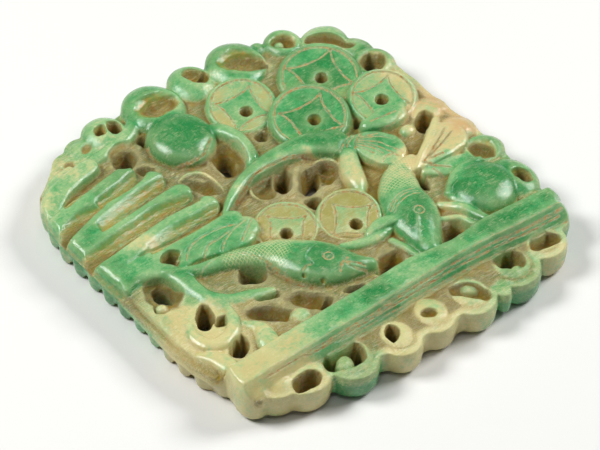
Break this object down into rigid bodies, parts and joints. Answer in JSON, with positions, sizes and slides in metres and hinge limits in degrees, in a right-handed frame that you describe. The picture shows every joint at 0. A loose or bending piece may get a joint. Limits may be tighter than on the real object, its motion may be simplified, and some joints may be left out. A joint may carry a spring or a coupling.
{
  "type": "carved jade plaque",
  "caption": "Openwork carved jade plaque: fishes, coins and beads above a basin rim, in a scalloped outline. It lies loose as an ornament.",
  "frame": {"origin": "middle of the underside, where the plaque lies", "axes": "+X along the basin rim to the right, +Y towards the scalloped head, +Z out of the carved front"},
  "size_m": [0.0707, 0.0737, 0.0083],
  "materials": {
    "jade": "polished green and cream jadeite on the high forms, matt with brown residue in the recesses"
  },
  "bodies": {
    "root": {"jade_plaque": "jade"}
  },
  "joints": []
}
